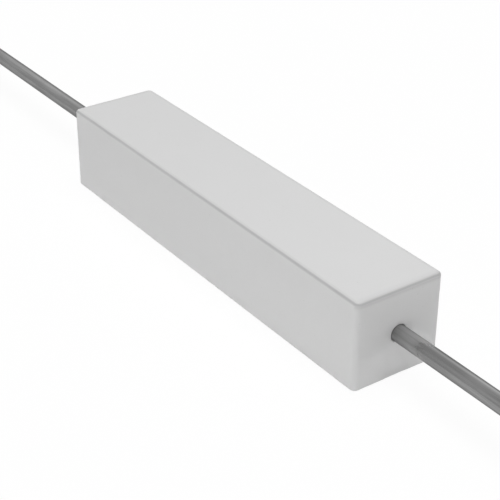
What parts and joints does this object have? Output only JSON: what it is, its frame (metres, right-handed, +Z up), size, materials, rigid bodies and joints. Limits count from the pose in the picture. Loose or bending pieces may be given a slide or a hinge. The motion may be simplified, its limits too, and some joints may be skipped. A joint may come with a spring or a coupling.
{
  "type": "cement power resistor",
  "caption": "Axial wire-wound power resistor: a rounded white ceramic trough potted with cement, with a thick tinned wire lead from the middle of each end.",
  "frame": {"origin": "centre of the underside, on the surface that the case stands on", "axes": "+X along the leads towards the right lead, +Y across the case, +Z up from the cement side to the roof"},
  "size_m": [0.1236, 0.0094, 0.0088],
  "materials": {
    "case_ceramic": "matte, unglazed, fine pressed grain",
    "potting_cement": "matte, finely pitted on the open side",
    "core_ceramic": "matte",
    "resistance_wire": "dull drawn alloy wire",
    "cap_steel": "tinned sheet steel",
    "tinned_lead": "tinned drawn wire, satin gloss"
  },
  "bodies": {
    "root": {"ceramic_case": "case_ceramic", "cement_fill": "potting_cement", "core_rod": "core_ceramic", "resistance_winding": "resistance_wire", "end_cap_left": "cap_steel", "end_cap_right": "cap_steel", "lead_left": "tinned_lead", "lead_right": "tinned_lead"}
  },
  "joints": []
}
